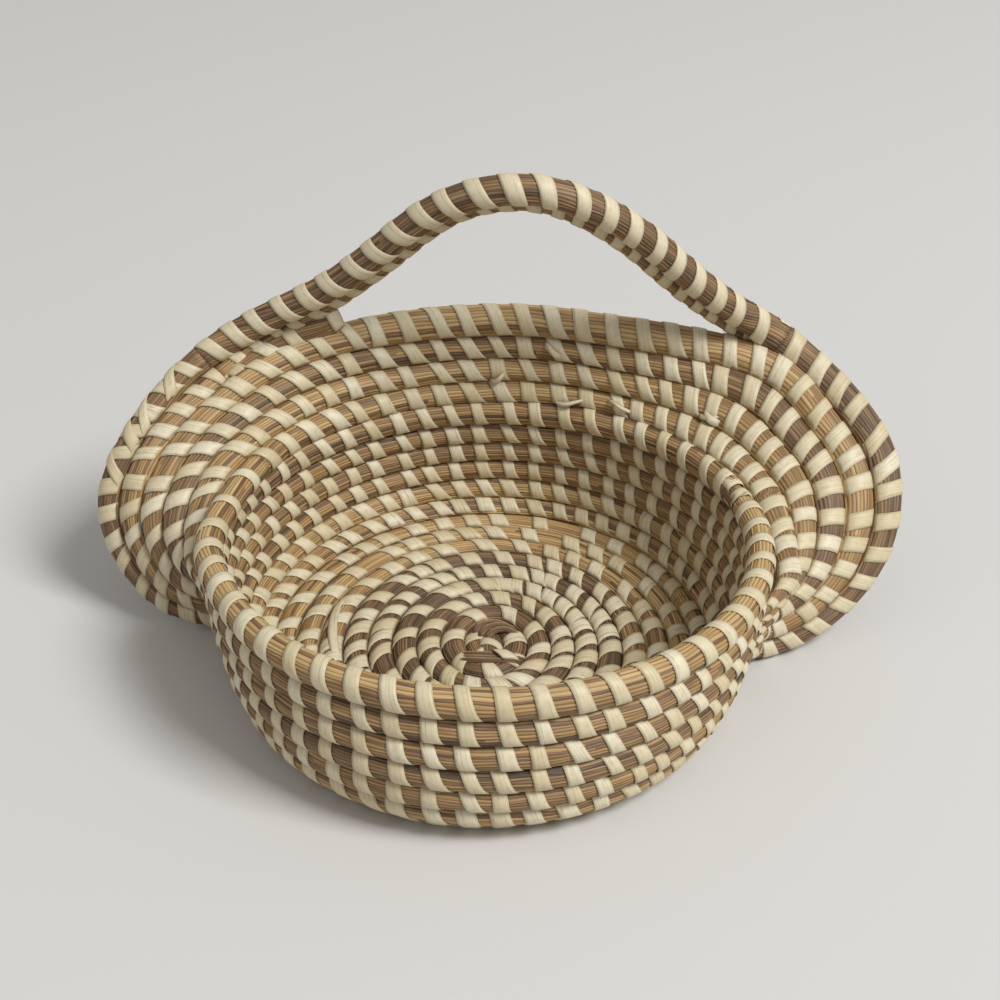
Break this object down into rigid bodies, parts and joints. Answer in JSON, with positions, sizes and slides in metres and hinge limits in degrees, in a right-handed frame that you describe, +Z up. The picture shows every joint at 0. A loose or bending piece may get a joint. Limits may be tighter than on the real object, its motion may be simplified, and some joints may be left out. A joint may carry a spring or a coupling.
{
  "type": "coiled basket with handle",
  "caption": "Round coiled grass basket with a flat base, a raised back that spreads into an ear at each side, and an arched handle over the back.",
  "frame": {"origin": "on the plane that the basket rests on, under the centre knot", "axes": "+Z up, +X to the right ear as seen from the open front, +Y towards the raised back and handle"},
  "size_m": [0.3016, 0.2121, 0.1648],
  "materials": {
    "dark_rush": "matte bundled brown rush",
    "amber_grass": "satin bundled amber grass",
    "pale_strip": "satin pale palm strip"
  },
  "bodies": {
    "root": {"centre_knot": "dark_rush", "base_coil_dark": "dark_rush", "base_coil_tan": "amber_grass", "foot_row": "amber_grass", "wall_row_1": "amber_grass", "wall_row_2": "dark_rush", "wall_row_3": "dark_rush", "wall_row_4": "dark_rush", "wall_row_5": "dark_rush", "front_rim": "amber_grass", "back_row_1": "amber_grass", "back_row_2": "amber_grass", "back_row_3": "dark_rush", "top_back_row": "amber_grass", "left_edge_coil": "dark_rush", "handle_coil": "dark_rush", "right_edge_coil": "dark_rush", "left_ear_row_4": "amber_grass", "inner_handle_coil": "dark_rush", "left_edge_strip": "pale_strip", "handle_strip": "pale_strip", "right_edge_strip": "pale_strip", "rim_strip": "pale_strip"}
  },
  "joints": []
}
